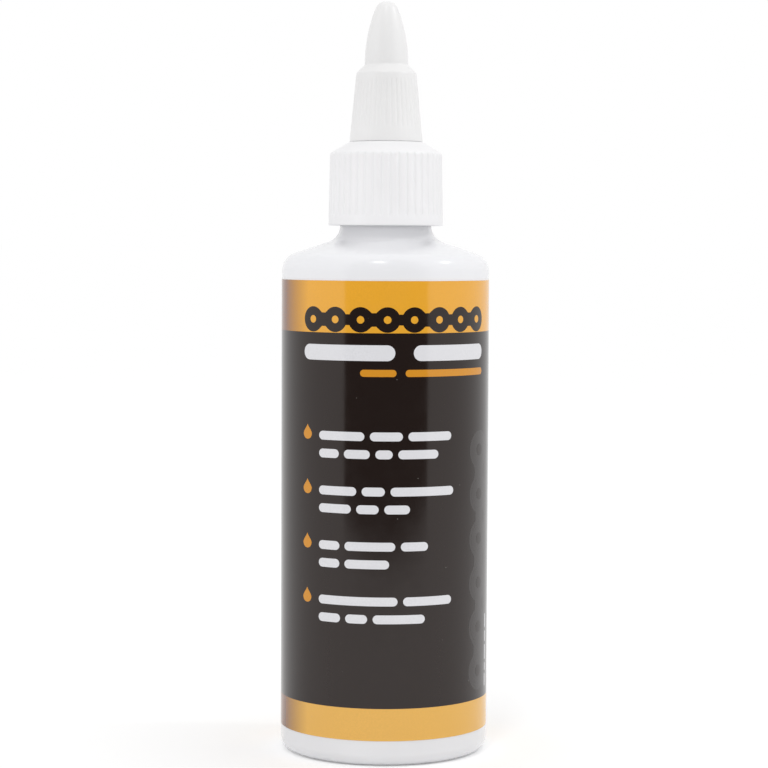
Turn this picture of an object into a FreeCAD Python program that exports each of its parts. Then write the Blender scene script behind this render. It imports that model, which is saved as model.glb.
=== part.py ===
import FreeCAD, Part
import math
import os
import re
import Sketcher

# A squeeze bottle for chain lube: a blown bottle, a wrap label and a twist-open dispensing closure.
# Frame: +Z up, the standing ring lies on z = 0, the axis of the bottle is the Z axis, the front faces -Y.

# Driving dimensions, in millimetres, degrees and turns
DIMENSIONS = [
    # Bottle, blown in one piece
    ("body_radius", 21.0),
    ("body_wall", 0.9),
    ("heel_radius", 2.5),
    ("ring_width", 2.5),
    ("base_rise", 1.4),
    ("shoulder_height", 97.7),
    ("shoulder_round", 3.8),
    ("shoulder_slope", 18.4),
    ("neck_radius", 9.2),
    ("neck_wall", 1.6),
    ("neck_round", 3.4),
    ("neck_length", 13.0),
    ("lip_round", 0.4),
    # Thread between the neck and the closure
    ("thread_pitch", 3.175),
    ("thread_depth", 0.85),
    ("thread_root", 1.3),
    ("thread_crest", 0.5),
    ("thread_drop", 7.0),
    ("thread_gap", 0.25),
    ("thread_play", 0.17),
    ("neck_turns", 1.5),
    ("cap_turns", 1.25),
    # Wrap label
    ("label_rise", 2.75),
    ("label_margin", 1.75),
    ("label_thickness", 0.1),
    ("label_glue", 0.02),
    ("label_gap", 3.0),
    # Sealing washer in the closure
    ("liner_thickness", 0.7),
    ("liner_width", 3.6),
    ("liner_room", 0.3),
    ("liner_gap", 0.05),
    # Closure base: ribbed skirt and dome
    ("rim_gap", 0.05),
    ("cap_wall", 1.35),
    ("cap_draft", 1.1),
    ("roof_rise", 0.3),
    ("cap_corner", 1.0),
    ("dome_slope", 31.0),
    ("dome_rim", 0.1),
    ("roof_wall", 1.3),
    ("rib_count", 42),
    ("rib_valley", 0.55),
    ("rib_depth", 0.2),
    ("rib_start", 2.0),
    # Closure base: stem and plug pin
    ("stem_radius", 4.6),
    ("stem_wall", 1.2),
    ("stem_drop", 2.05),
    ("stem_web", 1.5),
    ("stem_room", 1.3),
    ("pin_foot", 1.2),
    ("pin_gap", 0.1),
    ("pin_recess", 0.4),
    ("flow_count", 4),
    ("flow_radius", 0.65),
    # Thread between the stem and the spout
    ("lift_lead", 6.0),
    ("lift_depth", 0.65),
    ("lift_root", 1.2),
    ("lift_crest", 0.6),
    ("lift_start", 3.0),
    ("lift_gap", 0.25),
    ("stem_turns", 0.5),
    ("spout_turns", 0.4),
    # Spout
    ("spout_gap", 0.05),
    ("skirt_wall", 1.93),
    ("skirt_taper", 5.5),
    ("skirt_height", 13.85),
    ("skirt_round", 0.9),
    ("skirt_rim", 0.9),
    ("entry_depth", 2.0),
    ("step_slope", 45.0),
    ("step_round", 0.6),
    ("tip_radius", 4.4),
    ("tip_length", 12.35),
    ("tip_bore", 3.0),
    ("nose_radius", 2.45),
    ("orifice_radius", 0.85),
    ("orifice_length", 2.6),
    ("flute_count", 40),
    ("flute_width", 0.45),
    ("flute_depth", 0.1),
    ("flute_start", 3.2),
    ("flute_stop", 1.0),
    # Ring that seals the spout on the stem
    ("seal_section", 0.5),
    ("seal_height", 7.3),
    ("seal_gap", 0.02),
    ("seal_room", 0.1),
    # How far a ridge is rooted in its wall, and a cutter stands out of it
    ("ridge_bite", 0.1),
    ("cutter_reach", 0.5),
]

doc = FreeCAD.newDocument("chain_lube_bottle")
sheet = doc.addObject("Spreadsheet::Sheet", "dims")
for row, (alias, value) in enumerate(DIMENSIONS, start=1):
    sheet.set(f"A{row}", alias)
    sheet.set(f"B{row}", str(value))
    sheet.setAlias(f"B{row}", alias)
doc.recompute()


# Formulas: each name with an underscore in it is a cell of the sheet

def bound(formula):
    return re.sub(r"\b[a-z]+(?:_[a-z]+)+\b", r"dims.\g<0>", formula)


def measure(formula):
    return float(sheet.evalExpression(bound(formula)))


# Building blocks

def new_body(label):
    body = doc.addObject("PartDesign::Body", label)
    body.Label = label
    return body


def raise_to(piece, height):
    piece.setExpression("Placement.Base.z", bound(height))


def origin_feature(body, role):
    return next(feature for feature in body.Origin.OriginFeatures if feature.Role == role)


def new_sketch(body, name, plane):
    sketch = body.newObject("Sketcher::SketchObject", name)
    sketch.AttachmentSupport = [(origin_feature(body, plane), "")]
    sketch.MapMode = "FlatFace"
    return sketch


def fix(sketch, constraint, formula):
    index = sketch.addConstraint(constraint)
    sketch.setExpression(f"Constraints[{index}]", bound(formula))


def arc_between(start, end, radius, side):
    """The short arc from start to end whose centre lies left or right of the way from start to end."""
    half = (end - start) * 0.5
    left = FreeCAD.Vector(-half.y, half.x, 0).normalize()
    toward = left if side == "left" else left * -1
    height = math.sqrt(max(radius ** 2 - half.Length ** 2, 0))
    centre = start + half + toward * height
    first, last = (start, end) if side == "left" else (end, start)
    angles = [math.atan2(point.y - centre.y, point.x - centre.x) for point in (first, last)]
    if angles[1] < angles[0]:
        angles[1] += 2 * math.pi
    circle = Part.Circle(centre, FreeCAD.Vector(0, 0, 1), radius)
    return Part.ArcOfCircle(circle, angles[0], angles[1])


def outline(body, name, corners):
    """A closed outline in the XZ plane. A corner is (x, z), or (x, z, radius, side) where an arc leaves it."""
    sketch = new_sketch(body, name, "XZ_Plane")
    points = [FreeCAD.Vector(measure(corner[0]), measure(corner[1]), 0) for corner in corners]
    ends = []
    for index, corner in enumerate(corners):
        start = points[index]
        end = points[(index + 1) % len(points)]
        if len(corner) == 2:
            sketch.addGeometry(Part.LineSegment(start, end))
            ends.append((1, 2))
        else:
            radius, side = corner[2:]
            sketch.addGeometry(arc_between(start, end, measure(radius), side))
            ends.append((1, 2) if side == "left" else (2, 1))
            fix(sketch, Sketcher.Constraint("Radius", index, measure(radius)), radius)
    for index, corner in enumerate(corners):
        first_end = ends[index][0]
        before = index - 1 if index else len(corners) - 1
        sketch.addConstraint(Sketcher.Constraint("Coincident", before, ends[before][1], index, first_end))
        for direction, formula, value in (("X", corner[0], points[index].x), ("Y", corner[1], points[index].y)):
            fix(sketch, Sketcher.Constraint(f"Distance{direction}", -1, 1, index, first_end, value), formula)
    return sketch


def revolve(body, name, sketch):
    feature = body.newObject("PartDesign::Revolution", name)
    feature.Profile = sketch
    feature.ReferenceAxis = (sketch, ["V_Axis"])
    feature.Angle = 360
    body.Tip = feature
    doc.recompute()
    return feature


def helical_ridge(body, name, foot, crest, height, widths, lead, turns):
    """A right-handed ridge of trapezoid section, from the wall at foot to its crest, starting at height."""
    root_width, crest_width = widths
    sketch = outline(body, f"{name}_section", [
        (foot, f"({height}) - {root_width} / 2"),
        (crest, f"({height}) - {crest_width} / 2"),
        (crest, f"({height}) + {crest_width} / 2"),
        (foot, f"({height}) + {root_width} / 2"),
    ])
    ridge = body.newObject("PartDesign::AdditiveHelix", name)
    ridge.Profile = sketch
    ridge.ReferenceAxis = (sketch, ["V_Axis"])
    ridge.Mode = "pitch-turns-angle"
    ridge.setExpression("Pitch", bound(lead))
    ridge.setExpression("Turns", bound(turns))
    body.Tip = ridge
    doc.recompute()


def cut_all_round(body, name, cutter, count):
    """Repeats a cut round the axis, and checks that it takes material away."""
    before = cutter.BaseFeature.Shape.Volume
    pattern = body.newObject("PartDesign::PolarPattern", name)
    pattern.Originals = [cutter]
    pattern.Axis = (origin_feature(body, "Z_Axis"), [""])
    pattern.Angle = 360
    pattern.setExpression("Occurrences", bound(count))
    body.Tip = pattern
    doc.recompute()
    if not pattern.Shape.Volume < before:
        raise RuntimeError(f"{name} cuts nothing")


def cut_valleys(body, name, low, high, depth, width, count):
    """Straight valleys all round a tapered wall. low and high are (radius, height) of the wall at their ends."""
    (low_radius, low_height), (high_radius, high_height) = low, high
    outside = f"({low_radius}) + cutter_reach"
    sketch = outline(body, f"{name}_section", [
        (f"({low_radius}) - {depth}", low_height),
        (outside, f"({low_height}) - {depth} - cutter_reach"),
        (outside, high_height),
        (f"({high_radius}) - {depth}", high_height),
    ])
    valley = body.newObject("PartDesign::Pocket", f"{name}_cut")
    valley.Profile = sketch
    valley.SideType = "Symmetric"
    valley.setExpression("Length", bound(width))
    body.Tip = valley
    doc.recompute()
    cut_all_round(body, name, valley, count)


# Sizes that several pieces share

bore_radius = "(neck_radius - neck_wall)"
shoulder_run = "(body_radius - neck_radius - (shoulder_round + neck_round) * (1 - sin(shoulder_slope)))"
shoulder_rise = f"((shoulder_round + neck_round) * cos(shoulder_slope) + {shoulder_run} * tan(shoulder_slope))"
neck_foot = f"(shoulder_height + {shoulder_rise})"
lip = f"({neck_foot} + neck_length)"

liner_stack = "(liner_thickness + 2 * liner_gap)"
seat = f"({lip} + {liner_stack})"

spout_bore = "(stem_radius + lift_depth + lift_gap)"
skirt_radius = f"({spout_bore} + skirt_wall)"
stem_height = "(skirt_height - stem_drop)"

cap_bore = "(neck_radius + thread_depth + thread_gap)"
cap_radius = f"({cap_bore} + cap_wall)"
cap_depth = f"(neck_length + {liner_stack} - rim_gap)"
cap_side = f"({cap_depth} + roof_rise)"
corner_radius = f"({cap_radius} - {cap_side} * tan(cap_draft))"
dome_foot_radius = f"({corner_radius} - cap_corner * (cos(cap_draft) - sin(dome_slope)))"
dome_foot = "(roof_rise - cap_corner * (sin(cap_draft) - cos(dome_slope)))"
dome_radius = f"({skirt_radius} + dome_rim)"
ledge = f"({dome_foot} + ({dome_foot_radius} - {dome_radius}) * tan(dome_slope))"
spout_foot = f"({ledge} + spout_gap)"

skirt_top_radius = f"({skirt_radius} - skirt_height * tan(skirt_taper))"
step_foot_radius = f"({skirt_top_radius} - skirt_round * (cos(skirt_taper) - sin(step_slope)))"
step_foot = "(skirt_height - skirt_round * (sin(skirt_taper) - cos(step_slope)))"
step_top_radius = "(tip_radius + step_round * (1 - sin(step_slope)))"
step_top = f"({step_foot} + ({step_foot_radius} - {step_top_radius}) * tan(step_slope))"
tip_foot = f"({step_top} + step_round * cos(step_slope))"
nose_height = "(tip_length - nose_radius)"
orifice_top = f"({tip_foot} + {nose_height} + sqrt(nose_radius ^ 2 - orifice_radius ^ 2))"
orifice_foot = f"({orifice_top} - orifice_length)"


# Bottle: one revolved wall, outside then inside, and the thread on its neck

def make_bottle():
    body = new_body("bottle")
    ring_radius = "(body_radius - heel_radius - ring_width)"
    base_curve = f"(({ring_radius} ^ 2 + base_rise ^ 2) / (2 * base_rise))"
    shoulder_gain = "(shoulder_round - body_wall)"
    slope_radius = f"(body_radius - shoulder_round + {shoulder_gain} * sin(shoulder_slope))"
    slope_foot = f"(shoulder_height + {shoulder_gain} * cos(shoulder_slope))"
    bore_round = "(neck_round + neck_wall)"
    flare_radius = f"({bore_radius} + {bore_round} * (1 - sin(shoulder_slope)))"
    flare_foot = f"({slope_foot} + ({slope_radius} - {flare_radius}) * tan(shoulder_slope))"
    neck_flare = "(neck_radius + neck_round * (1 - sin(shoulder_slope)))"
    wall = outline(body, "wall_section", [
        ("0", "base_rise", base_curve, "right"),
        (ring_radius, "0"),
        ("body_radius - heel_radius", "0", "heel_radius", "left"),
        ("body_radius", "heel_radius"),
        ("body_radius", "shoulder_height", "shoulder_round", "left"),
        ("body_radius - shoulder_round * (1 - sin(shoulder_slope))",
         "shoulder_height + shoulder_round * cos(shoulder_slope)"),
        (neck_flare, f"{neck_foot} - neck_round * cos(shoulder_slope)", "neck_round", "right"),
        ("neck_radius", neck_foot),
        ("neck_radius", f"{lip} - lip_round", "lip_round", "left"),
        ("neck_radius - lip_round", lip),
        (bore_radius, lip),
        (bore_radius, f"{flare_foot} + {bore_round} * cos(shoulder_slope)", bore_round, "left"),
        (flare_radius, flare_foot),
        (slope_radius, slope_foot, shoulder_gain, "right"),
        ("body_radius - body_wall", "shoulder_height"),
        ("body_radius - body_wall", "heel_radius", "heel_radius - body_wall", "right"),
        ("body_radius - heel_radius", "body_wall"),
        (ring_radius, "body_wall", base_curve, "left"),
        ("0", "base_rise + body_wall"),
    ])
    revolve(body, "bottle_wall", wall)
    helical_ridge(body, "neck_thread", "neck_radius - ridge_bite", "neck_radius + thread_depth",
                  f"{lip} - thread_drop", ("thread_root", "thread_crest"), "thread_pitch", "neck_turns")
    return body


# Label: a film round the straight wall, its two ends leaving a narrow gap at the back

def make_label():
    body = new_body("label")
    inside = "body_radius + label_glue"
    bottom = "(heel_radius + label_rise)"
    height = f"shoulder_height - label_margin - {bottom}"
    film = outline(body, "film_section", [
        (inside, "0"),
        (f"{inside} + label_thickness", "0"),
        (f"{inside} + label_thickness", height),
        (inside, height),
    ])
    wrap = revolve(body, "film", film)
    wrap.Midplane = True
    wrap.setExpression("Angle", bound("360 - label_gap / body_radius * 180 / pi"))
    body.Placement.Rotation = FreeCAD.Rotation(FreeCAD.Vector(0, 0, 1), -90)
    raise_to(body, bottom)
    return body


# Sealing washer: a ring between the lip of the neck and the roof of the closure

def make_cap_liner():
    disc = doc.addObject("Part::Cylinder", "liner_disc")
    hole = doc.addObject("Part::Cylinder", "liner_hole")
    disc.setExpression("Radius", bound(f"{cap_bore} - liner_room"))
    hole.setExpression("Radius", bound(f"{cap_bore} - liner_room - liner_width"))
    for cylinder in (disc, hole):
        cylinder.setExpression("Height", bound("liner_thickness"))
    washer = doc.addObject("Part::Cut", "cap_liner")
    washer.Base = disc
    washer.Tool = hole
    raise_to(washer, f"{lip} + liner_gap")
    return washer


# Closure base: skirt, dome, stem and plug pin in one moulding. Its own origin is the seat of the washer

def make_screw_cap():
    body = new_body("screw_cap")
    stem_bore = "(stem_radius - stem_wall)"
    stem_top = f"({ledge} + {stem_height})"
    pin_radius = "(orifice_radius - pin_gap)"
    moulding = outline(body, "cap_section", [
        (cap_bore, f"-{cap_depth}"),
        (cap_radius, f"-{cap_depth}"),
        (corner_radius, "roof_rise", "cap_corner", "left"),
        (dome_foot_radius, dome_foot),
        (dome_radius, ledge),
        ("stem_radius", ledge),
        ("stem_radius", stem_top),
        ("pin_foot", stem_top),
        (pin_radius, f"{spout_foot} + {orifice_foot}"),
        (pin_radius, f"{spout_foot} + {orifice_top} - pin_recess"),
        ("0", f"{spout_foot} + {orifice_top} - pin_recess"),
        ("0", f"{stem_top} - stem_web"),
        (stem_bore, f"{stem_top} - stem_web"),
        (stem_bore, f"{ledge} - roof_wall"),
        (f"{cap_bore} - liner_room - liner_width", "0"),
        (cap_bore, "0"),
    ])
    revolve(body, "cap_moulding", moulding)

    cut_valleys(body, "cap_ribs", (f"{cap_radius} - rib_start * tan(cap_draft)", f"rib_start - {cap_depth}"),
                (f"{corner_radius} - cap_corner * tan(cap_draft)", "roof_rise + cap_corner"),
                "rib_depth", "rib_valley", "rib_count")

    hole = new_sketch(body, "flow_section", "XY_Plane")
    ring = f"(pin_foot + {stem_bore}) / 2"
    hole.addGeometry(Part.Circle(FreeCAD.Vector(measure(ring), 0, 0), FreeCAD.Vector(0, 0, 1),
                                 measure("flow_radius")))
    hole.addConstraint(Sketcher.Constraint("PointOnObject", 0, 3, -1))
    fix(hole, Sketcher.Constraint("DistanceX", -1, 1, 0, 3, measure(ring)), ring)
    fix(hole, Sketcher.Constraint("Radius", 0, measure("flow_radius")), "flow_radius")
    flow = body.newObject("PartDesign::Pocket", "flow_cut")
    flow.Profile = hole
    flow.Reversed = True
    flow.setExpression("Length", bound(f"{stem_top} + cutter_reach"))
    body.Tip = flow
    doc.recompute()
    cut_all_round(body, "flow_holes", flow, "flow_count")

    flank = "(thread_root - thread_crest) / 2 * (thread_depth + thread_gap) / thread_depth"
    below_neck_ridge = f"(thread_root - {flank} + thread_play)"
    helical_ridge(body, "cap_thread", f"{cap_bore} + ridge_bite", f"{cap_bore} - thread_depth",
                  f"-thread_drop - {liner_stack} - {below_neck_ridge}", ("thread_root", "thread_crest"),
                  "thread_pitch", "cap_turns")
    helical_ridge(body, "stem_thread", "-(stem_radius - ridge_bite)", "-(stem_radius + lift_depth)",
                  f"{spout_foot} + lift_start", ("lift_root", "lift_crest"), "lift_lead", "stem_turns")
    raise_to(body, seat)
    return body


# Sealing ring: sits in a groove of the spout and runs on the stem

def make_spout_seal():
    ring = doc.addObject("Part::Torus", "spout_seal")
    ring.setExpression("Radius1", bound("stem_radius + seal_gap + seal_section"))
    ring.setExpression("Radius2", bound("seal_section"))
    raise_to(ring, f"{seat} + {spout_foot} + seal_height")
    return ring


# Spout: fluted skirt, step and bullet tip in one moulding. Its own origin is the rim of its skirt

def make_twist_spout():
    body = new_body("twist_spout")
    groove = "(stem_radius + seal_gap + 2 * seal_section + seal_room)"
    groove_half = "(seal_section + seal_room)"
    bullet = f"((tip_radius ^ 2 + {nose_height} ^ 2 - nose_radius ^ 2) / (2 * (tip_radius - nose_radius)))"
    toward_nose = f"({bullet} / ({bullet} - nose_radius))"
    moulding = outline(body, "spout_section", [
        (f"{skirt_radius} - skirt_rim", "0"),
        (skirt_radius, "0"),
        (skirt_top_radius, "skirt_height", "skirt_round", "left"),
        (step_foot_radius, step_foot),
        (step_top_radius, step_top, "step_round", "right"),
        ("tip_radius", tip_foot, bullet, "left"),
        (f"({bullet} - tip_radius) * ({toward_nose} - 1)", f"{tip_foot} + {nose_height} * {toward_nose}",
         "nose_radius", "left"),
        ("orifice_radius", orifice_top),
        ("orifice_radius", orifice_foot),
        ("tip_bore", tip_foot),
        ("stem_radius + lift_gap", f"{stem_height} - spout_gap + stem_room"),
        (spout_bore, f"seal_height + {groove_half} + seal_section"),
        (spout_bore, f"seal_height + {groove_half}"),
        (groove, f"seal_height + {groove_half}"),
        (groove, f"seal_height - {groove_half}"),
        (spout_bore, f"seal_height - {groove_half}"),
        (spout_bore, "entry_depth"),
    ])
    revolve(body, "spout_moulding", moulding)
    flute_top = "(skirt_height - flute_stop)"
    cut_valleys(body, "spout_flutes", (f"{skirt_radius} - flute_start * tan(skirt_taper)", "flute_start"),
                (f"{skirt_radius} - {flute_top} * tan(skirt_taper)", flute_top),
                "flute_depth", "flute_width", "flute_count")
    helical_ridge(body, "spout_thread", f"{spout_bore} + ridge_bite", f"{spout_bore} - lift_depth",
                  "lift_start", ("lift_root", "lift_crest"), "lift_lead", "spout_turns")
    raise_to(body, f"{seat} + {spout_foot}")
    return body


pieces = [
    make_bottle(),
    make_label(),
    make_cap_liner(),
    make_screw_cap(),
    make_spout_seal(),
    make_twist_spout(),
]
doc.recompute()

# Every feature has to be sound before anything is written
for item in doc.Objects:
    if "Invalid" in item.State or "Error" in item.State:
        raise RuntimeError(f"{item.Label} failed: {item.State}")
for piece in pieces:
    if piece.Shape.isNull() or not piece.Shape.isValid():
        raise RuntimeError(f"{piece.Label} has no sound shape")

os.makedirs("parts", exist_ok=True)
for piece in pieces:
    piece.Shape.exportStep(f"parts/{piece.Label}.step")
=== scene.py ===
import math

import bmesh
import bpy
from mathutils import Matrix, Vector


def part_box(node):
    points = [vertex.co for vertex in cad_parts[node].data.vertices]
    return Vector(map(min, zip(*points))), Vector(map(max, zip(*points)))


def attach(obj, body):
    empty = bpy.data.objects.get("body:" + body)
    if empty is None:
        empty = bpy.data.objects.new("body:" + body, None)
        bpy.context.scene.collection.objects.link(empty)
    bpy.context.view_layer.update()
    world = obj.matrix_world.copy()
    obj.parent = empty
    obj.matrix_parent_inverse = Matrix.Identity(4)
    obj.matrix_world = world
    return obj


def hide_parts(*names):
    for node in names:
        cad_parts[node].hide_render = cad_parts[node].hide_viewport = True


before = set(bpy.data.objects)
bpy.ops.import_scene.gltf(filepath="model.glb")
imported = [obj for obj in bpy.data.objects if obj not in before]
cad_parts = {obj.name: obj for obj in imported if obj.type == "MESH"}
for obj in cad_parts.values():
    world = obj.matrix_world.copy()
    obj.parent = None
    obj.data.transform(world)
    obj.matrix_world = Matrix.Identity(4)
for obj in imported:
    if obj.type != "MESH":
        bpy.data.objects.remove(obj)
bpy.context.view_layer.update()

# Lengths of the part are in millimetres and become metres when a mesh is made
MM = 0.001
# A length too small to see
HAIR = 0.01
TURN = 2 * math.pi
FRONT = -math.pi / 2


# Sizes read from the part's nodes in model.glb

def reach(node):
    """A round node's radius, and the heights of its bottom and its top."""
    low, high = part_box(node)
    return high.x / MM, low.z / MM, high.z / MM


body_radius, floor_height, lip = reach("bottle")
film_radius, film_bottom, film_top = reach("label")
cap_radius, cap_rim, pin_top = reach("screw_cap")
skirt_radius, spout_rim, spout_top = reach("twist_spout")


# Sections: chains of (radius, height) with rounded corners

def rounded(corners, steps=8):
    """Points along a chain of (radius, height, rounding) corners. The two ends stay as they are."""
    chain = [corners[0][:2]]
    for before, corner, after in zip(corners, corners[1:], corners[2:]):
        spot = Vector(corner[:2])
        rounding = corner[2]
        if rounding == 0:
            chain.append(tuple(spot))
            continue
        back = (Vector(before[:2]) - spot).normalized()
        onward = (Vector(after[:2]) - spot).normalized()
        half_angle = back.angle(onward) / 2
        tangent = rounding / math.tan(half_angle)
        start = spot + back * tangent
        end = spot + onward * tangent
        middle = (back + onward).normalized()
        centre = spot + middle * (rounding / math.sin(half_angle))
        sweep = (start - centre).angle_signed(end - centre)
        for step in range(steps + 1):
            spoke = Matrix.Rotation(-sweep * step / steps, 2) @ (start - centre)
            chain.append(tuple(centre + spoke))
    chain.append(corners[-1][:2])
    return chain


def arc(middle, height, radius, first, last, steps):
    """Points of an arc about (middle, height), from after the angle first up to the angle last."""
    leans = [first + (last - first) * step / steps for step in range(1, steps + 1)]
    return [(middle + radius * math.cos(lean), height + radius * math.sin(lean)) for lean in leans]


def dome_height(radius, edge, height, rise):
    """How high a shallow dome is at this radius: at height on its edge, and rise above that on the axis."""
    curve = (edge ** 2 + rise ** 2) / (2 * rise)
    return height + rise - curve + math.sqrt(curve ** 2 - radius ** 2)


def dome(edge, height, rise, steps=14):
    """The section of a shallow dome, from the axis out to its edge."""
    radii = [edge * step / steps for step in range(steps + 1)]
    return [(radius, dome_height(radius, edge, height, rise)) for radius in radii]


# Surfaces: each is (points, faces, slots), with one material slot number for each face

def turned(section, angles, closed, shape=None):
    """A surface of revolution. shape(radius, height, angle) gives the radius where a wall isn't round."""
    points, faces, rings = [], [], []
    for radius, height in section:
        if radius == 0:
            rings.append([len(points)] * len(angles))
            points.append((0, 0, height))
            continue
        rings.append(list(range(len(points), len(points) + len(angles))))
        for angle in angles:
            out = shape(radius, height, angle) if shape else radius
            points.append((out * math.cos(angle), out * math.sin(angle), height))
    pairs = list(zip(rings, rings[1:]))
    if closed:
        pairs.append((rings[-1], rings[0]))
    for low, high in pairs:
        for here in range(len(angles)):
            there = (here + 1) % len(angles)
            corners = dict.fromkeys((low[here], low[there], high[there], high[here]))
            if len(corners) > 2:
                faces.append(tuple(corners))
    return points, faces, [0] * len(faces)


def lofted(rings):
    """A closed bar through rings of points, with a flat face at both ends."""
    size = len(rings[0])
    points = [point for ring in rings for point in ring]
    last = len(points) - size
    faces = []
    for base in range(0, last, size):
        for side in range(size):
            beside = (side + 1) % size
            faces.append((base + side, base + beside, base + size + beside, base + size + side))
    faces.append(tuple(range(size)))
    faces.append(tuple(range(last, len(points))))
    return points, faces, [0] * len(faces)


# Thread ridges: the share of the full section that is left at the two ends, how much of the height is
# straight flank, how much of the crest is flat, and the turns over which an end runs out into the wall
RIDGE_STUB = 0.06
FLANK_SHARE = 0.88
CREST_SHARE = 0.8
RUN_OUT = 0.07
STEPS_A_TURN = 96


def ridge(foot, crest, height, widths, lead, turns, start=0.0):
    """A right-handed thread ridge from radius foot to radius crest, with its widths at both."""
    rings = []
    count = round(turns * STEPS_A_TURN)
    for step in range(count + 1):
        along = turns * step / count
        fade = min(along, turns - along) / RUN_OUT
        rise = RIDGE_STUB + (1 - RIDGE_STUB) * math.sin(min(fade, 1) * math.pi / 2)
        angle = start + TURN * along
        middle = height + lead * along
        depth = (crest - foot) * rise
        root, tip = widths[0] * rise / 2, widths[1] * rise / 2
        flank = tip + (root - tip) * (1 - FLANK_SHARE)
        half = ((foot, root), (foot + depth * FLANK_SHARE, flank), (foot + depth, tip * CREST_SHARE))
        section = [(radius, -offset) for radius, offset in half] + list(reversed(half))
        rings.append([(radius * math.cos(angle), radius * math.sin(angle), middle + offset)
                      for radius, offset in section])
    return lofted(rings)


def wrapped(rows, low, high, slots):
    """A thin closed layer round the axis. rows are rows of (way round from the front, height), in
    millimetres at the film's surface. low and high are the radii of its two faces, and slots has one
    number for each gap between two rows."""
    points, faces, numbers = [], [], []
    width = len(rows[0])
    for radius in (high, low):
        for row in rows:
            for way, height in row:
                angle = FRONT + way / film_radius
                points.append((radius * math.cos(angle), radius * math.sin(angle), height))
    under = len(rows) * width

    def add(slot, *corners):
        faces.append(corners)
        numbers.append(slot)

    for row, slot in enumerate(slots):
        for column in range(width - 1):
            first = row * width + column
            second = first + width
            add(slot, first, first + 1, second + 1, second)
            add(slot, under + first, under + second, under + second + 1, under + first + 1)
        for end in (row * width, (row + 1) * width - 1):
            add(slot, end, end + width, under + end + width, under + end)
    last = (len(rows) - 1) * width
    for edge, slot in ((0, slots[0]), (last, slots[-1])):
        for column in range(edge, edge + width - 1):
            add(slot, column, column + 1, under + column + 1, under + column)
    return points, faces, numbers


# Edges with a sharper bend than this are shaded as edges
SHARP_ANGLE = math.radians(50)


def make_piece(name, surfaces, materials):
    """One mesh object from closed surfaces, with faces that look outwards."""
    mesh = bmesh.new()
    for points, faces, slots in surfaces:
        corners = [mesh.verts.new(Vector(point) * MM) for point in points]
        for face, slot in zip(faces, slots):
            made = mesh.faces.new([corners[number] for number in face])
            made.material_index = slot
            made.smooth = True
    bmesh.ops.recalc_face_normals(mesh, faces=mesh.faces)
    data = bpy.data.meshes.new(name)
    mesh.to_mesh(data)
    mesh.free()
    data.set_sharp_from_angle(angle=SHARP_ANGLE)
    for material in materials:
        data.materials.append(material)
    piece = bpy.data.objects.new(name, data)
    bpy.context.collection.objects.link(piece)
    return piece


# Angles round the axis, and the grooves of ribs and flutes

# Angles in a groove, in groove widths from its middle, and on a crest, in shares of the pitch
GROOVE_CUTS = (-0.85, -0.6, -0.42, -0.22, 0, 0.22, 0.42, 0.6, 0.85)
CREST_CUTS = (0.42, 0.58)
# From the middle of a groove out to its crest, in groove widths
GROOVE_HALF = 0.8


def even_angles(count):
    return [TURN * step / count for step in range(count)]


def grooved_angles(count, radius, width):
    """Angles that follow count grooves of this width, close together in each groove."""
    offsets = [width * share for share in GROOVE_CUTS]
    pitch = TURN / count
    angles = [number * pitch + offset / radius for number in range(count) for offset in offsets]
    crests = [(number + share) * pitch for number in range(count) for share in CREST_CUTS]
    return sorted(angle % TURN for angle in angles + crests)


def ease(value, start, end):
    """A soft step, from 0 where value is at start to 1 where it is at end."""
    share = min(max((value - start) / (end - start), 0.0), 1.0)
    return share * share * (3 - 2 * share)


def groove(angle, count, radius, width):
    """How deep a rounded groove is at this angle, from 0 on the crest to 1 in the middle."""
    pitch = TURN / count
    off_centre = abs((angle + pitch / 2) % pitch - pitch / 2) * radius
    return ease(off_centre, width * GROOVE_HALF, 0)


# Materials

# Most of a noise lies between these values
NOISE_LOW = 0.3
NOISE_HIGH = 0.7


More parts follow.
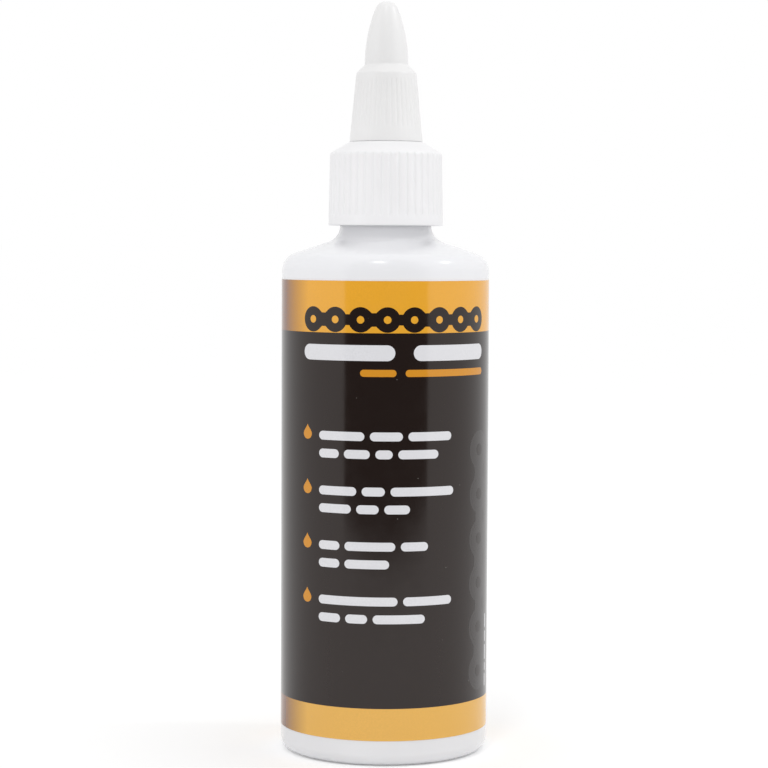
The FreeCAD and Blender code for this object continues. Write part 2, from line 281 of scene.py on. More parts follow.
class Paint:
    """A Principled material with short ways to add procedural detail in the object's own space."""

    def __init__(self, name, colour, roughness):
        self.material = bpy.data.materials.new(name)
        self.material.use_nodes = True
        self.material.diffuse_color = (*colour, 1)
        self.tree = self.material.node_tree
        self.shader = self.tree.nodes["Principled BSDF"]
        self.colour = colour
        self.roughness = roughness
        self.shader.inputs["Base Color"].default_value = (*colour, 1)
        self.shader.inputs["Roughness"].default_value = roughness
        self.place = self.add("ShaderNodeTexCoord").outputs["Object"]
        self.bump_end = None

    def add(self, kind, **settings):
        node = self.tree.nodes.new(kind)
        for setting, value in settings.items():
            setattr(node, setting, value)
        return node

    def link(self, output, socket):
        self.tree.links.new(output, socket)

    def noise(self, size, detail=3.0, stretch=(1, 1, 1)):
        """Cloudy noise whose lumps are about size millimetres across."""
        mapping = self.add("ShaderNodeMapping")
        mapping.inputs["Scale"].default_value = stretch
        self.link(self.place, mapping.inputs["Vector"])
        noise = self.add("ShaderNodeTexNoise")
        noise.inputs["Scale"].default_value = 1 / (size * MM)
        noise.inputs["Detail"].default_value = detail
        self.link(mapping.outputs["Vector"], noise.inputs["Vector"])
        return noise.outputs["Fac"]

    def clouds(self, size, low, high, detail=3.0):
        """Noise with more contrast: 0 where it is under low, and 1 where it is over high."""
        return self.ramp(self.noise(size, detail), low, high, 0, 1)

    def specks(self, spacing, radius, empty):
        """Sparse round dots with soft edges, 1 inside and 0 outside. empty is the share left without."""
        cells = self.add("ShaderNodeTexVoronoi")
        cells.inputs["Scale"].default_value = 1 / (spacing * MM)
        self.link(self.place, cells.inputs["Vector"])
        outer = radius / spacing
        edge = self.ramp(cells.outputs["Distance"], outer, outer / 2, 0, 1)
        chosen = self.math("GREATER_THAN", self.red(cells.outputs["Color"]), empty)
        return self.math("MULTIPLY", edge, chosen)

    def red(self, colour):
        split = self.add("ShaderNodeSeparateColor")
        self.link(colour, split.inputs["Color"])
        return split.outputs["Red"]

    def way_round(self):
        """The angle round the axis, in degrees from the front, positive to the right."""
        axes = self.add("ShaderNodeSeparateXYZ")
        self.link(self.place, axes.inputs["Vector"])
        forward = self.math("MULTIPLY", axes.outputs["Y"], -1)
        return self.math("MULTIPLY", self.math("ARCTAN2", axes.outputs["X"], forward), math.degrees(1))

    def math(self, operation, first, second):
        node = self.add("ShaderNodeMath", operation=operation)
        for socket, value in zip(node.inputs, (first, second)):
            if isinstance(value, (int, float)):
                socket.default_value = value
            else:
                self.link(value, socket)
        return node.outputs["Value"]

    def ramp(self, value, low, high, out_low, out_high):
        """Carries the range low to high over to out_low to out_high, and stops at its ends."""
        node = self.add("ShaderNodeMapRange")
        node.inputs["From Min"].default_value = low
        node.inputs["From Max"].default_value = high
        node.inputs["To Min"].default_value = out_low
        node.inputs["To Max"].default_value = out_high
        self.link(value, node.inputs["Value"])
        return node.outputs["Result"]

    def tint(self, factor, other):
        """Moves the base colour towards another one where factor is high."""
        mix = self.add("ShaderNodeMix", data_type="RGBA")
        sources = self.shader.inputs["Base Color"].links
        if sources:
            self.link(sources[0].from_socket, mix.inputs["A"])
        else:
            mix.inputs["A"].default_value = (*self.colour, 1)
        mix.inputs["B"].default_value = (*other, 1)
        self.link(factor, mix.inputs["Factor"])
        self.link(mix.outputs["Result"], self.shader.inputs["Base Color"])

    def vary_roughness(self, noise, spread):
        """Lets the roughness wander by spread to both sides."""
        low, high = self.roughness - spread, self.roughness + spread
        self.link(self.ramp(noise, NOISE_LOW, NOISE_HIGH, low, high), self.shader.inputs["Roughness"])

    def bump(self, height, depth):
        """Adds relief, depth millimetres from the lowest to the highest value."""
        node = self.add("ShaderNodeBump")
        node.inputs["Strength"].default_value = 1.0
        node.inputs["Distance"].default_value = depth * MM
        self.link(height, node.inputs["Height"])
        if self.bump_end:
            self.link(self.bump_end, node.inputs["Normal"])
        self.bump_end = node.outputs["Normal"]
        self.link(self.bump_end, self.shader.inputs["Normal"])


def shaded(colour, factor):
    return tuple(channel * factor for channel in colour)


def white_plastic(name, colour, roughness, peel):
    """Satin white plastic: faint clouding, uneven gloss, and a fine moulded skin of depth peel, on slow
    waves that are four times as deep."""
    paint = Paint(name, colour, roughness)
    paint.tint(paint.clouds(size=9.0, low=0.35, high=0.7), shaded(colour, 0.975))
    paint.vary_roughness(paint.noise(size=4.0), spread=0.04)
    paint.bump(paint.noise(size=14.0, detail=1.0, stretch=(1, 1, 0.35)), depth=peel * 4)
    paint.bump(paint.noise(size=0.5, detail=2.0), depth=peel)
    paint.shader.inputs["Subsurface Weight"].default_value = 0.1
    paint.shader.inputs["Subsurface Radius"].default_value = (1.0, 0.97, 0.95)
    paint.shader.inputs["Subsurface Scale"].default_value = 0.8 * MM
    paint.shader.inputs["IOR"].default_value = 1.5
    return paint.material


GOLD = (0.86, 0.41, 0.031)
# The lower band's gold: the same ink as GOLD, made paler by a painted reflection of the floor
PAINTED_REFLECTION_GOLD = (0.86, 0.475, 0.085)
# Painted shade: the gold bands darken to this brown in a soft stripe at the left side
PAINTED_SHADE_BROWN = (0.18, 0.055, 0.012)
DARK = (0.018, 0.0114, 0.0097)
GHOST = (0.046, 0.040, 0.039)
WHITE_INK = (0.80, 0.80, 0.83)
ORANGE_INK = (0.72, 0.30, 0.022)
DUST = (0.42, 0.40, 0.37)
FILM_ROUGHNESS = 0.13
# The stripe of painted shade at the left side, in degrees round from the front: it starts, is full, fades
# and ends
STRIPE_START, STRIPE_FULL, STRIPE_FADES, STRIPE_END = -46, -71, -82, -112


def film(name, colour, dots=0.0, gloss=1.46, painted_side_shade=None):
    """Printed film: a fine ink mottle, an uneven skin, and specks of dust that show as much as dots says.
    gloss is its index of refraction, and painted_side_shade the colour of a soft stripe of painted shade at
    the left side."""
    paint = Paint(name, colour, FILM_ROUGHNESS)
    paint.tint(paint.clouds(size=0.35, low=0.3, high=0.75, detail=2.0), shaded(colour, 0.93))
    paint.tint(paint.clouds(size=12.0, low=0.4, high=0.7), shaded(colour, 0.96))
    # A soft stripe of painted shade at the left side, where the gold darkens towards brown
    if painted_side_shade:
        way = paint.way_round()
        coming = paint.ramp(way, STRIPE_START, STRIPE_FULL, 0, 1)
        going = paint.ramp(way, STRIPE_END, STRIPE_FADES, 0, 1)
        paint.tint(paint.math("MULTIPLY", coming, going), painted_side_shade)
    if dots:
        dust = paint.specks(spacing=2.6, radius=0.11, empty=0.45)
        paint.tint(paint.math("MULTIPLY", dust, dots), DUST)
    paint.vary_roughness(paint.noise(size=3.0), spread=0.025)
    paint.bump(paint.noise(size=6.0, detail=1.0), depth=0.006)
    paint.bump(paint.noise(size=0.8, detail=2.0), depth=0.0012)
    paint.shader.inputs["IOR"].default_value = gloss
    paint.shader.inputs["Specular Tint"].default_value = (1, 0.95, 0.93, 1)
    return paint.material


# Both gold films carry the stripe of painted shade at the left side
gold_film = film("label_gold", GOLD, dots=0.25, gloss=1.6, painted_side_shade=PAINTED_SHADE_BROWN)
painted_reflection_gold_film = film("label_painted_reflection_gold", PAINTED_REFLECTION_GOLD, dots=0.25, gloss=1.6, painted_side_shade=PAINTED_SHADE_BROWN)
dark_film = film("label_dark", DARK, dots=0.5)
ghost_film = film("label_ghost", GHOST, dots=0.5)
white_ink = film("label_white_ink", WHITE_INK)
orange_ink = film("label_orange_ink", ORANGE_INK)
bottle_plastic = white_plastic("bottle_polyethylene", (0.85, 0.852, 0.875), roughness=0.17, peel=0.0025)
cap_plastic = white_plastic("closure_polypropylene", (0.88, 0.876, 0.888), roughness=0.33, peel=0.0005)
spout_plastic = white_plastic("spout_polyethylene", (0.87, 0.866, 0.866), roughness=0.33, peel=0.0005)


# Bottle: outside from the base to the lip, then the inside down again

body_wall = 0.9
heel_round = 2.5
ring_width = 2.5
ring_margin = 0.4
base_rise = 1.4
shoulder_slope = math.radians(18.4)
shoulder_round = 3.8
neck_radius = 9.2
neck_length = 13.0
neck_wall = 1.6
neck_round = 3.4
lip_round = 0.4
lip_step = 0.1
thread_pitch = 3.175
thread_depth = 0.85
thread_widths = (1.3, 0.5)
neck_turns = 1.5
thread_drop = 7.0
bite = 0.1

neck_foot = lip - neck_length
bend = (math.pi / 2 - shoulder_slope) / 2
neck_corner = neck_foot - neck_round * math.tan(bend)
body_corner = neck_corner - (body_radius - neck_radius) * math.tan(shoulder_slope)
ring_radius = body_radius - heel_round - ring_width
ring_point = ring_radius + ring_margin
lip_middle = neck_radius - neck_wall / 2
wall_radius = body_radius - body_wall
bore_radius = neck_radius - neck_wall
inner_floor = floor_height + body_wall
inner_corner = body_corner - body_wall / math.cos(shoulder_slope) + body_wall * math.tan(shoulder_slope)
bore_corner = inner_corner + (wall_radius - bore_radius) * math.tan(shoulder_slope)

bottle_outside = dome(ring_radius, floor_height, base_rise) + rounded([
    (ring_point, floor_height, 0),
    (body_radius, floor_height, heel_round),
    (body_radius, body_corner, shoulder_round),
    (neck_radius, neck_corner, neck_round),
    (neck_radius, lip, lip_round),
    (lip_middle, lip, 0),
], steps=12)
bottle_inside = rounded([
    (lip_middle - lip_step, lip, 0),
    (bore_radius, lip, lip_round),
    (bore_radius, bore_corner, neck_round + neck_wall),
    (wall_radius, inner_corner, shoulder_round - body_wall),
    (wall_radius, inner_floor, heel_round - body_wall),
    (ring_point, inner_floor, 0),
], steps=10)
bottle_floor = dome(ring_radius, inner_floor, base_rise)[::-1]

# The parting line of the mould stays clear of the film, fades in and out, and ends a little way up the neck
seam_height = 0.07
seam_width = 0.22
seam_margin = 0.1
seam_clear = 0.4
seam_fade = 0.8
seam_on_neck = 2.0
seam_cuts = (-3, -2.2, -1.5, -1, -0.6, -0.3, 0, 0.3, 0.6, 1, 1.5, 2.2, 3)
seam_angles = [side + cut * seam_width / body_radius for side in (0, math.pi) for cut in seam_cuts]
bottle_sides = 180
bottle_angles = sorted({round(angle % TURN, 6) for angle in even_angles(bottle_sides) + seam_angles})


def with_seam(radius, height, angle):
    """The bottle's wall with the parting line, a fine ridge at both sides, on the outside only."""
    under_film = film_bottom - seam_clear
    over_film = film_top + seam_clear
    shown = ease(height, floor_height, floor_height + heel_round)
    shown -= ease(height, under_film - seam_fade, under_film)
    shown += ease(height, over_film, over_film + seam_fade)
    shown -= ease(height, neck_foot, neck_foot + seam_on_neck)
    outside = radius > neck_radius - HAIR and (height > inner_corner or radius > wall_radius + seam_margin)
    if shown <= 0 or not outside:
        return radius
    off_line = min(angle % math.pi, math.pi - angle % math.pi) * body_radius / seam_width
    return radius + seam_height * shown * math.exp(-off_line ** 2)


weld_half_length = 12.5
weld_half_width = 0.45
weld_height = 0.22
weld_sunk = 0.05
weld_stub = 0.02
weld_bluntness = 6
weld_steps = 40
weld_cuts = (-1, -0.7, -0.35, 0, 0.35, 0.7, 1)


def weld_bead():
    """The pinched weld of the blown tube across the hollow of the base."""
    rings = []
    for step in range(weld_steps + 1):
        along = weld_half_length * (2 * step / weld_steps - 1)
        foot = dome_height(along, ring_radius, floor_height, base_rise) + weld_sunk
        fade = math.sqrt(max(1 - (along / weld_half_length) ** weld_bluntness, weld_stub))
        width, drop = weld_half_width * fade, (weld_height + weld_sunk) * fade
        rings.append([(along, width * cut, foot - drop * (1 - cut ** 2)) for cut in weld_cuts])
    return lofted(rings)


bottle = make_piece("bottle_blown", [
    turned(bottle_outside + bottle_inside + bottle_floor, bottle_angles, closed=False, shape=with_seam),
    ridge(neck_radius - bite, neck_radius + thread_depth, lip - thread_drop,
          thread_widths, thread_pitch, neck_turns),
    weld_bead(),
], [bottle_plastic])
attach(bottle, "bottle")
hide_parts("bottle")


# Label: film in three bands, and the print on it in plain shapes

film_thickness = 0.1
film_gap = 3.0
film_steps = 300
upper_band = 10.2
lower_band = 6.4
ink_height = 0.012
gold_top = film_top - upper_band
gold_bottom = film_bottom + lower_band
SLOT_GOLD, SLOT_PAINTED_REFLECTION_GOLD, SLOT_DARK, SLOT_GHOST, SLOT_WHITE, SLOT_ORANGE = range(6)


def print_layer(rows, slot, layer):
    """Ink on the film, each layer a little higher than the one under it."""
    top = film_radius + ink_height * layer
    return wrapped(rows, film_radius - ink_height, top, [slot] * (len(rows) - 1))


def at(angle):
    """The way round from the front, in millimetres, at this many degrees."""
    return math.radians(angle) * film_radius


# A printed shape is a list of places: how far along it, and its half-width there

UPRIGHT_CUTS = [side / 4 for side in range(-4, 5)]
LYING_CUTS = (-1, 0, 1)


def strip(places, middle, slot, layer=1, upright=False):
    """A printed shape lying along the way round at height middle, or standing upright at way middle."""
    if upright:
        rows = [[(middle + half * cut, along) for cut in UPRIGHT_CUTS] for along, half in places]
    else:
        rows = [[(along, middle + half * cut) for along, half in places] for cut in LYING_CUTS]
    return print_layer(rows, slot, layer)


def bar_places(start, end, width, end_steps=8, longest_run=0.8):
    """A bar with round ends, or a disc where it is as long as it is wide."""
    half = width / 2
    straight = end - start - width
    runs = math.ceil(straight / longest_run)
    leans = [math.pi / 2 * step / end_steps for step in range(end_steps + 1)]
    first_end = [(start + half - half * math.cos(lean), half * math.sin(lean)) for lean in leans]
    between = [(start + half + straight * step / runs, half) for step in range(1, runs)]
    last_end = [(end - half + half * math.cos(lean), half * math.sin(lean)) for lean in reversed(leans)]
    places = first_end + between + last_end[0 if runs > 0 else 1:]
    return [(along, max(half_width, HAIR)) for along, half_width in places]


def word_bars(lengths, start, width, gap):
    """Bars for words of these lengths, one after the other."""
    bars = []
    for length in lengths:
        bars.append(bar_places(start, start + length, width))
        start += length + gap
    return bars


def drop_places(middle, width, length, steps=24):
    """A drop of oil: a round belly that runs up to a point."""
    belly = width / 2
    taper_start = belly * 0.9
    taper_end = length * 1.04
    taper_power = 0.9
    places = []
    for step in range(steps + 1):
        rise = length * step / steps
        if rise < belly:
            half = math.sqrt(belly ** 2 - (rise - belly) ** 2)
        else:
            half = belly * (1 - ease(rise, taper_start, taper_end)) ** taper_power
        places.append((middle - length / 2 + rise, max(half, HAIR)))
    return places


def link_places(start, end, size, waist, steps=36):
    """A chain's side plate: round ends of this size about two pins, joined by a waist."""
    places = []
    for step in range(steps + 1):
        along = start - size + (end - start + 2 * size) * (0.5 - math.cos(math.pi * step / steps) / 2)
        nearest = start if along < (start + end) / 2 else end
        beyond = min(abs(along - nearest), size)
        half = math.sqrt(size ** 2 - beyond ** 2)
        if start < along < end:
            half = max(half, waist)
        places.append((along, max(half, HAIR)))
    return places


# Every other link of a chain is smaller and printed a part of a layer higher
SMALL_LINK = 0.8
SMALL_LINK_LIFT = 0.4
WAIST_SHARE = 0.53
EYE_SHARE = 0.3
EYE_LAYER = 2


def link_row(first, last, count, middle, size, slot, eye_slot, upright=False):
    """A row of chain links from first to last, every other one smaller, with an eye at each pin."""
    pitch = (last - first - 2 * size) / count
    pins = [first + size + pitch * number for number in range(count + 1)]
    shapes = []
    for number in range(count):
        small = number % 2
        plate = size * (SMALL_LINK if small else 1.0)
        places = link_places(pins[number], pins[number + 1], plate, plate * WAIST_SHARE)
        shapes.append(strip(places, middle, slot, 1 + small * SMALL_LINK_LIFT, upright))
    eye = size * EYE_SHARE
    for pin in pins:
        disc = bar_places(pin - eye, pin + eye, eye * 2)
        shapes.append(strip(disc, middle, eye_slot, EYE_LAYER, upright))
    return shapes


film_half = math.pi * film_radius - film_gap / 2 * film_radius / body_radius
film_ways = [film_half * (2 * step / film_steps - 1) for step in range(film_steps + 1)]
film_heights = (film_bottom, gold_bottom, gold_top, film_top)
film_rows = [[(way, height) for way in film_ways] for height in film_heights]
# The lower band takes the gold with the painted reflection of the floor in its colour
film_bands = [SLOT_PAINTED_REFLECTION_GOLD, SLOT_DARK, SLOT_GOLD]
label_shapes = [wrapped(film_rows, film_radius - film_thickness, film_radius, film_bands)]

# The chain that stands on the edge of the upper band
print_left, print_right = at(-49.1), at(66.1)
chain_links = 7
chain_size = 2.5
chain_lift = 0.1
chain_middle = gold_top + chain_lift + chain_size
label_shapes += link_row(print_left, print_right, chain_links, chain_middle, chain_size,
                         SLOT_DARK, SLOT_GOLD)

# Two lines of wide bars, each given as where it starts and ends
heading_height = 81.85
heading_width = 3.1
heading_bars = ((print_left, at(5.4)), (at(15.4), print_right))
for start, end in heading_bars:
    label_shapes.append(strip(bar_places(start, end, heading_width), heading_height, SLOT_WHITE))
under_height = 77.9
under_width = 1.4
under_bars = ((at(-13.4), at(6.1)), (at(11), print_right))
for start, end in under_bars:
    label_shapes.append(strip(bar_places(start, end, under_width), under_height, SLOT_ORANGE))

# Each note is a drop and two lines of short bars, given as their lengths in millimetres
notes = (
    ((9.9, 6.5, 9.5), (4.6, 5.3, 3.4, 8.4)),
    ((8.3, 4.6, 13.6), (7.2, 4.5, 5.1)),
    ((4.8, 10.2, 5.6), (4.8, 9.0)),
    ((16.6, 10.6), (5.0, 4.5, 10.5)),
)
first_note = 65.45
note_pitch = 10.85
line_pitch = 3.52
line_start = at(-37.8)
line_width = 1.75
word_gap = 1.1
drop_way = at(-46.4)
drop_lift = 0.55
drop_width = 2.4
drop_length = 3.0
for number, lines in enumerate(notes):
    height = first_note - note_pitch * number
    drop = drop_places(height + drop_lift, drop_width, drop_length)
    label_shapes.append(strip(drop, drop_way, SLOT_ORANGE, upright=True))
    for line, words in enumerate(lines):
        for bar in word_bars(words, line_start, line_width, word_gap):
            label_shapes.append(strip(bar, height - line_pitch * line, SLOT_WHITE))

# A faint chain and a line of fine print, both upright at the right
ghost_bottom, ghost_top = 13.5, 66
ghost_links = 5
ghost_way = at(64)
ghost_size = 3.9
label_shapes += link_row(ghost_bottom, ghost_top, ghost_links, ghost_way, ghost_size,
                         SLOT_GHOST, SLOT_DARK, upright=True)
fine_words = (2.6, 1.6, 3.1, 2.2, 2.9)
fine_bottom = 13.6
fine_way = at(75.5)
fine_width = 0.5
fine_gap = 0.6
for bar in word_bars(fine_words, fine_bottom, fine_width, fine_gap):
    label_shapes.append(strip(bar, fine_way, SLOT_WHITE, upright=True))

label_films = [gold_film, painted_reflection_gold_film, dark_film, ghost_film, white_ink, orange_ink]
label = make_piece("label_wrap", label_shapes, label_films)
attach(label, "bottle")
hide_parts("label")


# Closure base: ribbed skirt, dome, stem and plug pin in one moulding

cap_wall = 1.35
cap_draft = math.radians(1.1)
cap_corner = 1.0
rim_inset = 0.7
rim_round = 0.25
rib_count = 42
rib_width = 0.62
rib_depth = 0.2
rib_start = 2.0
rib_margin = 0.5
rib_fade_below = 0.3
rib_fade_above = 0.5
rib_cuts = (-0.25, 0, 0.25, 0.5)
dome_slope = math.radians(31.0)
dome_rim = 0.1
ledge_round = 0.1
roof_wall = 1.3
inner_round = 0.2
stem_radius = 4.6
stem_wall = 1.2
stem_drop = 2.05
stem_web = 1.5
stem_foot_round = 0.3
stem_top_round = 0.35
pin_foot = 1.2
pin_foot_round = 0.15
pin_radius = 0.75
pin_tip_round = 0.2
orifice_length = 2.6
flow_count = 4
flow_radius = 0.65
drill_reach = 1.0
drill_sides = 32
thread_gap = 0.25
thread_play = 0.17
cap_turns = 1.25
liner_room = 0.3
liner_width = 3.6
lift_depth = 0.65
lift_widths = (1.2, 0.6)
lift_lead = 6.0
lift_start = 3.0
stem_turns = 0.5
spout_gap = 0.05
liner_gap = 0.05
skirt_height = 13.85

cap_bore = cap_radius - cap_wall
cap_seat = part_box("cap_liner")[1].z / MM + liner_gap
rim_middle = cap_bore + rim_inset
rib_foot = cap_rim + rib_start
ledge = spout_rim - spout_gap
ledge_radius = skirt_radius + dome_rim
stem_top = ledge + skirt_height - stem_drop
stem_bore = stem_radius - stem_wall
web_bottom = stem_top - stem_web


def wall_at(height):
    return cap_radius - (height - cap_rim) * math.tan(cap_draft)


# Where the straight wall and the dome's slope would meet without the round between them
fall = math.tan(dome_slope)
meeting = (ledge - (wall_at(0) - ledge_radius) * fall) / (1 - math.tan(cap_draft) * fall)
rib_rows = [(wall_at(rib_foot + cut), rib_foot + cut, 0) for cut in rib_cuts]
cap_outside = rounded([
    (rim_middle, cap_rim, 0),
    (cap_radius, cap_rim, rim_round),
    *rib_rows,
    (wall_at(meeting), meeting, cap_corner),
    (ledge_radius, ledge, ledge_round),
    (stem_radius, ledge, stem_foot_round),
    (stem_radius, stem_top, stem_top_round),
    (pin_foot, stem_top, pin_foot_round),
    (pin_radius, spout_top - orifice_length, 0),
    (pin_radius, pin_top, pin_tip_round),
    (0, pin_top, 0),
], steps=10)
cap_inside = rounded([
    (0, web_bottom, 0),
    (stem_bore, web_bottom, inner_round),
    (stem_bore, ledge - roof_wall, inner_round),
    (cap_bore - liner_room - liner_width, cap_seat, inner_round),
    (cap_bore, cap_seat, rim_round),
    (cap_bore, cap_rim, rim_round),
    (rim_middle, cap_rim, 0),
], steps=6)[:-1]


def ribbed(radius, height, angle):
    """The skirt's wall with its valleys, which start above a smooth band and run out over the corner."""
    if radius < cap_bore + rib_margin or height > ledge:
        return radius
    depth = rib_depth * ease(height, rib_foot - rib_fade_below, rib_foot + rib_fade_above)
    floor = wall_at(height) - depth
    valley = groove(angle, rib_count, cap_radius, rib_width)
    return radius - max(radius - floor, 0) * valley


def drill_flow_holes(piece):
    """The holes through the stem's web, by which the lube reaches the tip."""
    low, high = web_bottom - drill_reach, stem_top + drill_reach
    drill_section = [(0, low), (flow_radius, low), (flow_radius, high), (0, high)]
    points, faces, slots = turned(drill_section, even_angles(drill_sides), closed=False)
    ring = (pin_foot + stem_bore) / 2
    drills = []
    for angle in even_angles(flow_count):
        moved = [(x + ring * math.cos(angle), y + ring * math.sin(angle), z) for x, y, z in points]
        drills.append((moved, faces, slots))
    cutter = make_piece("flow_drills", drills, [])
    cut = piece.modifiers.new("flow_holes", "BOOLEAN")
    cut.object = cutter
    cut.operation = "DIFFERENCE"
    drilled = bpy.data.meshes.new_from_object(piece.evaluated_get(bpy.context.evaluated_depsgraph_get()))
    piece.modifiers.clear()
    piece.data = drilled
    bpy.data.objects.remove(cutter)


below_ridge = thread_widths[0] - (thread_widths[0] - thread_widths[1]) / 2 * (1 + thread_gap / thread_depth)
cap_thread_start = lip - thread_drop - below_ridge - thread_play
rib_angles = grooved_angles(rib_count, cap_radius, rib_width)

cap = make_piece("closure_base", [
    turned(cap_outside + cap_inside, rib_angles, closed=True, shape=ribbed),
    ridge(cap_bore + bite, cap_bore - thread_depth, cap_thread_start,
          thread_widths, thread_pitch, cap_turns),
    ridge(stem_radius - bite, stem_radius + lift_depth, spout_rim + lift_start,
          lift_widths, lift_lead, stem_turns, start=math.pi),
], [cap_plastic])
drill_flow_holes(cap)
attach(cap, "closure")
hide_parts("screw_cap")


# Spout: fluted skirt, step and bullet tip in one moulding

skirt_taper = math.radians(5.5)
skirt_round = 0.9
skirt_rim_width = 0.9
skirt_rim_round = 0.1
entry_depth = 2.0
step_slope = math.radians(45)
step_round = 0.6
step_blend = 0.25
tip_radius = 4.4
tip_bore = 3.0
nose_radius = 2.45
orifice_radius = 0.85
bullet_steps = 18
nose_steps = 12
flute_count = 40
flute_width = 0.5
flute_depth = 0.1
flute_start = 3.2
flute_stop = 1.0
flute_fade = 0.4
flute_margin = 0.3
lift_gap = 0.25
spout_turns = 0.4
stem_room = 1.3
seal_low, seal_high = (corner.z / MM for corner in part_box("spout_seal"))
seal_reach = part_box("spout_seal")[1].x / MM
groove_room = 0.1
groove_lip = 0.5


def skirt_at(height):
    return skirt_radius - (height - spout_rim) * math.tan(skirt_taper)


skirt_top = spout_rim + skirt_height
rim_inside = skirt_radius - skirt_rim_width
step_run = skirt_at(skirt_top) - tip_radius
step_top = skirt_top + step_run * math.tan(step_slope)
tip_foot = step_top + step_blend
spout_bore = stem_radius + lift_depth + lift_gap
groove_low, groove_high = seal_low - groove_room, seal_high + groove_room
groove_reach = seal_reach + groove_room

# The tip is a long arc, the bullet, and then the nose, an arc about the axis, up to the orifice
nose_centre = spout_top - math.sqrt(nose_radius ** 2 - orifice_radius ** 2)
nose_height = nose_centre - tip_foot
bullet = (tip_radius ** 2 + nose_height ** 2 - nose_radius ** 2) / (2 * (tip_radius - nose_radius))
touch = math.asin(nose_height / (bullet - nose_radius))
nose_end = math.acos(orifice_radius / nose_radius)
tip_points = arc(tip_radius - bullet, tip_foot, bullet, 0, touch, bullet_steps)
tip_points += arc(0, nose_centre, nose_radius, touch, nose_end, nose_steps)

flute_low, flute_high = spout_rim + flute_start, skirt_top - flute_stop
flute_heights = [flute_low + flute_fade * share for share in (-1, 0, 1)]
flute_heights += [flute_high + flute_fade * share for share in (-2, -1, 0)]
flute_rows = [(skirt_at(height), height, 0) for height in flute_heights]
spout_outside = rounded([
    (rim_inside, spout_rim, 0),
    (skirt_radius, spout_rim, skirt_rim_round),
    *flute_rows,
    (skirt_at(skirt_top), skirt_top, skirt_round),
    (tip_radius, step_top, step_round),
    (tip_radius, tip_foot, 0),
])
spout_inside = rounded([
    (orifice_radius, spout_top, 0),
    (orifice_radius, spout_top - orifice_length, 0),
    (tip_bore, tip_foot, 0),
    (stem_radius + lift_gap, stem_top + stem_room, 0),
    (spout_bore, groove_high + groove_lip, 0),
    (spout_bore, groove_high, 0),
    (groove_reach, groove_high, 0),
    (groove_reach, groove_low, 0),
    (spout_bore, groove_low, 0),
    (spout_bore, spout_rim + entry_depth, 0),
    (rim_inside, spout_rim, 0),
])[1:-1]


def fluted(radius, height, angle):
    """The skirt's soft flutes, which fade at both ends."""
    if radius < spout_bore + flute_margin or height > skirt_top:
        return radius
    coming = ease(height, flute_low - flute_fade, flute_low + flute_fade)
    going = ease(height, flute_high - 2 * flute_fade, flute_high)
    depth = flute_depth * coming * (1 - going)
    return radius - depth * groove(angle, flute_count, skirt_radius, flute_width)


flute_angles = grooved_angles(flute_count, skirt_radius, flute_width)

spout = make_piece("twist_spout_moulded", [
    turned(spout_outside + tip_points + spout_inside, flute_angles, closed=True, shape=fluted),
    ridge(spout_bore + bite, spout_bore - lift_depth, spout_rim + lift_start,
          lift_widths, lift_lead, spout_turns),
], [spout_plastic])
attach(spout, "spout")
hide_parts("twist_spout")


# The two hidden rings keep their solids and get their own materials

foam = Paint("liner_foam_skin", (0.82, 0.81, 0.78), roughness=0.75)
foam.tint(foam.clouds(size=0.25, low=0.4, high=0.65), (0.70, 0.69, 0.66))
foam.bump(foam.noise(size=0.2), depth=0.02)
rubber = Paint("seal_rubber_skin", (0.025, 0.025, 0.026), roughness=0.45)
rubber.tint(rubber.clouds(size=0.8, low=0.4, high=0.7), (0.04, 0.04, 0.041))
rubber.vary_roughness(rubber.noise(size=0.5), spread=0.08)
rubber.bump(rubber.noise(size=0.15), depth=0.004)
for node, paint in (("cap_liner", foam), ("spout_seal", rubber)):
    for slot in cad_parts[node].material_slots:
        slot.material = paint.material


# Camera, at the photograph's place and angle, in metres and degrees

camera_place = (-0.0002, -0.4986, 0.1036)
camera_down = 3.327
camera_roll = 0.27
camera_data = bpy.data.cameras.new("camera")
camera_data.lens = 114.66
camera_data.sensor_width = 36
camera = bpy.data.objects.new("camera", camera_data)
camera.location = camera_place
tilt, roll = math.radians(90 - camera_down), math.radians(camera_roll)
camera.rotation_euler = (Matrix.Rotation(tilt, 3, "X") @ Matrix.Rotation(roll, 3, "Z")).to_euler()
bpy.context.collection.objects.link(camera)
scene = bpy.context.scene
scene.camera = camera
scene.view_settings.view_transform = "Standard"


# Studio, in metres: a tent of light, a pale floor, a dark card that only reflections show, and four lamps

tent_light = 0.865
backdrop_light = 1.0
floor_size = 60
floor_gap = 0.00002
floor_white = (0.95, 0.95, 0.95)
floor_cloud = (0.945, 0.945, 0.945)
floor_lift = 0.18
card_width, card_height = 0.69, 1.6
card_place = (0.015, -0.34, card_height / 2)
card_black = (0.004, 0.004, 0.004)
lamp_distance = 0.5
lamp_aim = body_corner * MM
snoot_angle = math.radians(2.8)
snoot_elevation = 9
snoot_size = 0.02
snoot_drop = 0.002
snoot_aim = neck_foot * MM - snoot_drop


def background_ray(tree):
    """1 for rays that see the background: from the camera, or by way of a reflection or glass."""
    path = tree.nodes.new("ShaderNodeLightPath")
    seen = path.outputs["Is Camera Ray"]
    for kind in ("Is Glossy Ray", "Is Transmission Ray"):
        largest = tree.nodes.new("ShaderNodeMath")
        largest.operation = "MAXIMUM"
        tree.links.new(seen, largest.inputs[0])
        tree.links.new(path.outputs[kind], largest.inputs[1])
        seen = largest.outputs["Value"]
    return seen


world = bpy.data.worlds.new("tent")
world.use_nodes = True
scene.world = world
strength = world.node_tree.nodes.new("ShaderNodeMapRange")
strength.inputs["To Min"].default_value = tent_light
strength.inputs["To Max"].default_value = backdrop_light
world.node_tree.links.new(background_ray(world.node_tree), strength.inputs["Value"])
sky = world.node_tree.nodes["Background"]
sky.inputs["Color"].default_value = (1, 1, 1, 1)
world.node_tree.links.new(strength.outputs["Result"], sky.inputs["Strength"])


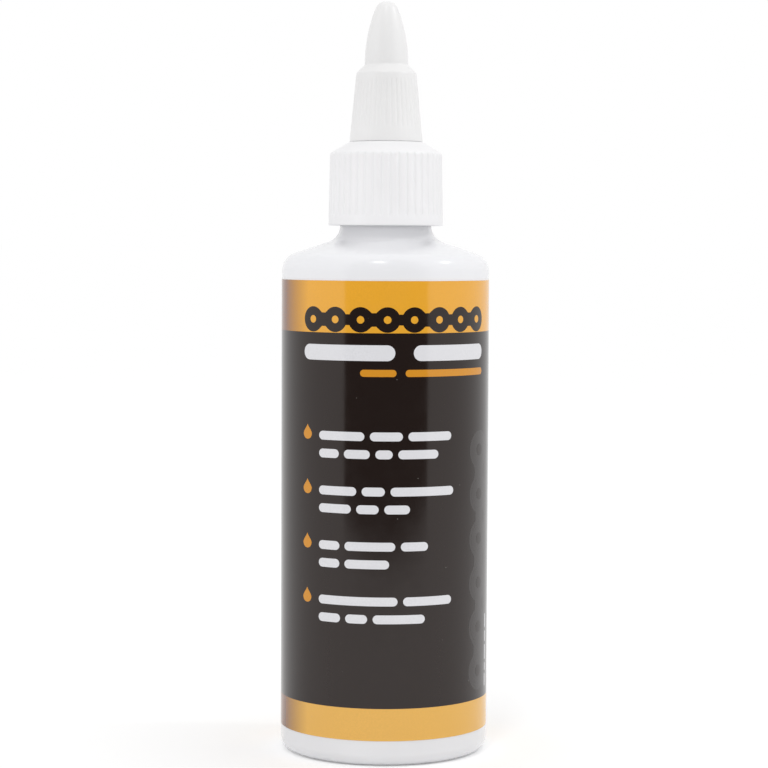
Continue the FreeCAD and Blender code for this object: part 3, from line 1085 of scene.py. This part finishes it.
def flat_sheet(name, width, depth):
    data = bpy.data.meshes.new(name)
    half_width, half_depth = width / 2, depth / 2
    corners = [(-half_width, -half_depth, 0), (half_width, -half_depth, 0), (half_width, half_depth, 0),
               (-half_width, half_depth, 0)]
    data.from_pydata(corners, [], [(0, 1, 2, 3)])
    sheet = bpy.data.objects.new(name, data)
    bpy.context.collection.objects.link(sheet)
    return sheet


floor = flat_sheet("floor", floor_size, floor_size)
floor.location.z = -floor_gap
floor_paint = Paint("floor_paper", floor_white, roughness=0.9)
floor_paint.tint(floor_paint.clouds(size=40.0, low=0.4, high=0.6), floor_cloud)
floor_paint.shader.inputs["Specular IOR Level"].default_value = 0.0
floor_paint.shader.inputs["Emission Color"].default_value = (1, 1, 1, 1)
lift = floor_paint.ramp(background_ray(floor_paint.tree), 0, 1, 0, floor_lift)
floor_paint.link(lift, floor_paint.shader.inputs["Emission Strength"])
floor.data.materials.append(floor_paint.material)

card_paint = Paint("dark_card", card_black, roughness=0.9)
card = flat_sheet("dark_card", card_width, card_height)
card.location = card_place
card.rotation_euler = (math.pi / 2, 0, 0)
card.data.materials.append(card_paint.material)
card.visible_camera = False
card.visible_diffuse = False
card.visible_shadow = False
card.visible_transmission = False


def hang(light, azimuth, elevation, height):
    """Hangs a lamp that looks at the axis at this height. Azimuth is positive to the right of the front."""
    holder = bpy.data.objects.new(light.name, light)
    around, up = math.radians(azimuth), math.radians(elevation)
    away = Vector((math.sin(around) * math.cos(up), -math.cos(around) * math.cos(up), math.sin(up)))
    holder.location = Vector((0, 0, height)) + away * lamp_distance
    holder.rotation_euler = away.to_track_quat("Z", "Y").to_euler()
    bpy.context.collection.objects.link(holder)
    return holder


def lamp(name, azimuth, elevation, size, power):
    """A small square lamp, seen as a highlight on the shoulder."""
    light = bpy.data.lights.new(name, "AREA")
    light.size = size
    light.energy = power
    hang(light, azimuth, elevation, lamp_aim)


def snoot(name, azimuth, power):
    """A narrow beam that fills the shade between the closure and the shoulder."""
    light = bpy.data.lights.new(name, "SPOT")
    light.spot_size = snoot_angle
    light.spot_blend = 1.0
    light.shadow_soft_size = snoot_size
    light.energy = power
    hang(light, azimuth, snoot_elevation, snoot_aim).visible_glossy = False


lamp("front_lamp", azimuth=-10, elevation=58, size=0.06, power=0.28)
lamp("right_lamp", azimuth=89, elevation=43, size=0.05, power=0.22)
snoot("left_snoot", azimuth=-45, power=3.2)
snoot("right_snoot", azimuth=45, power=2.4)
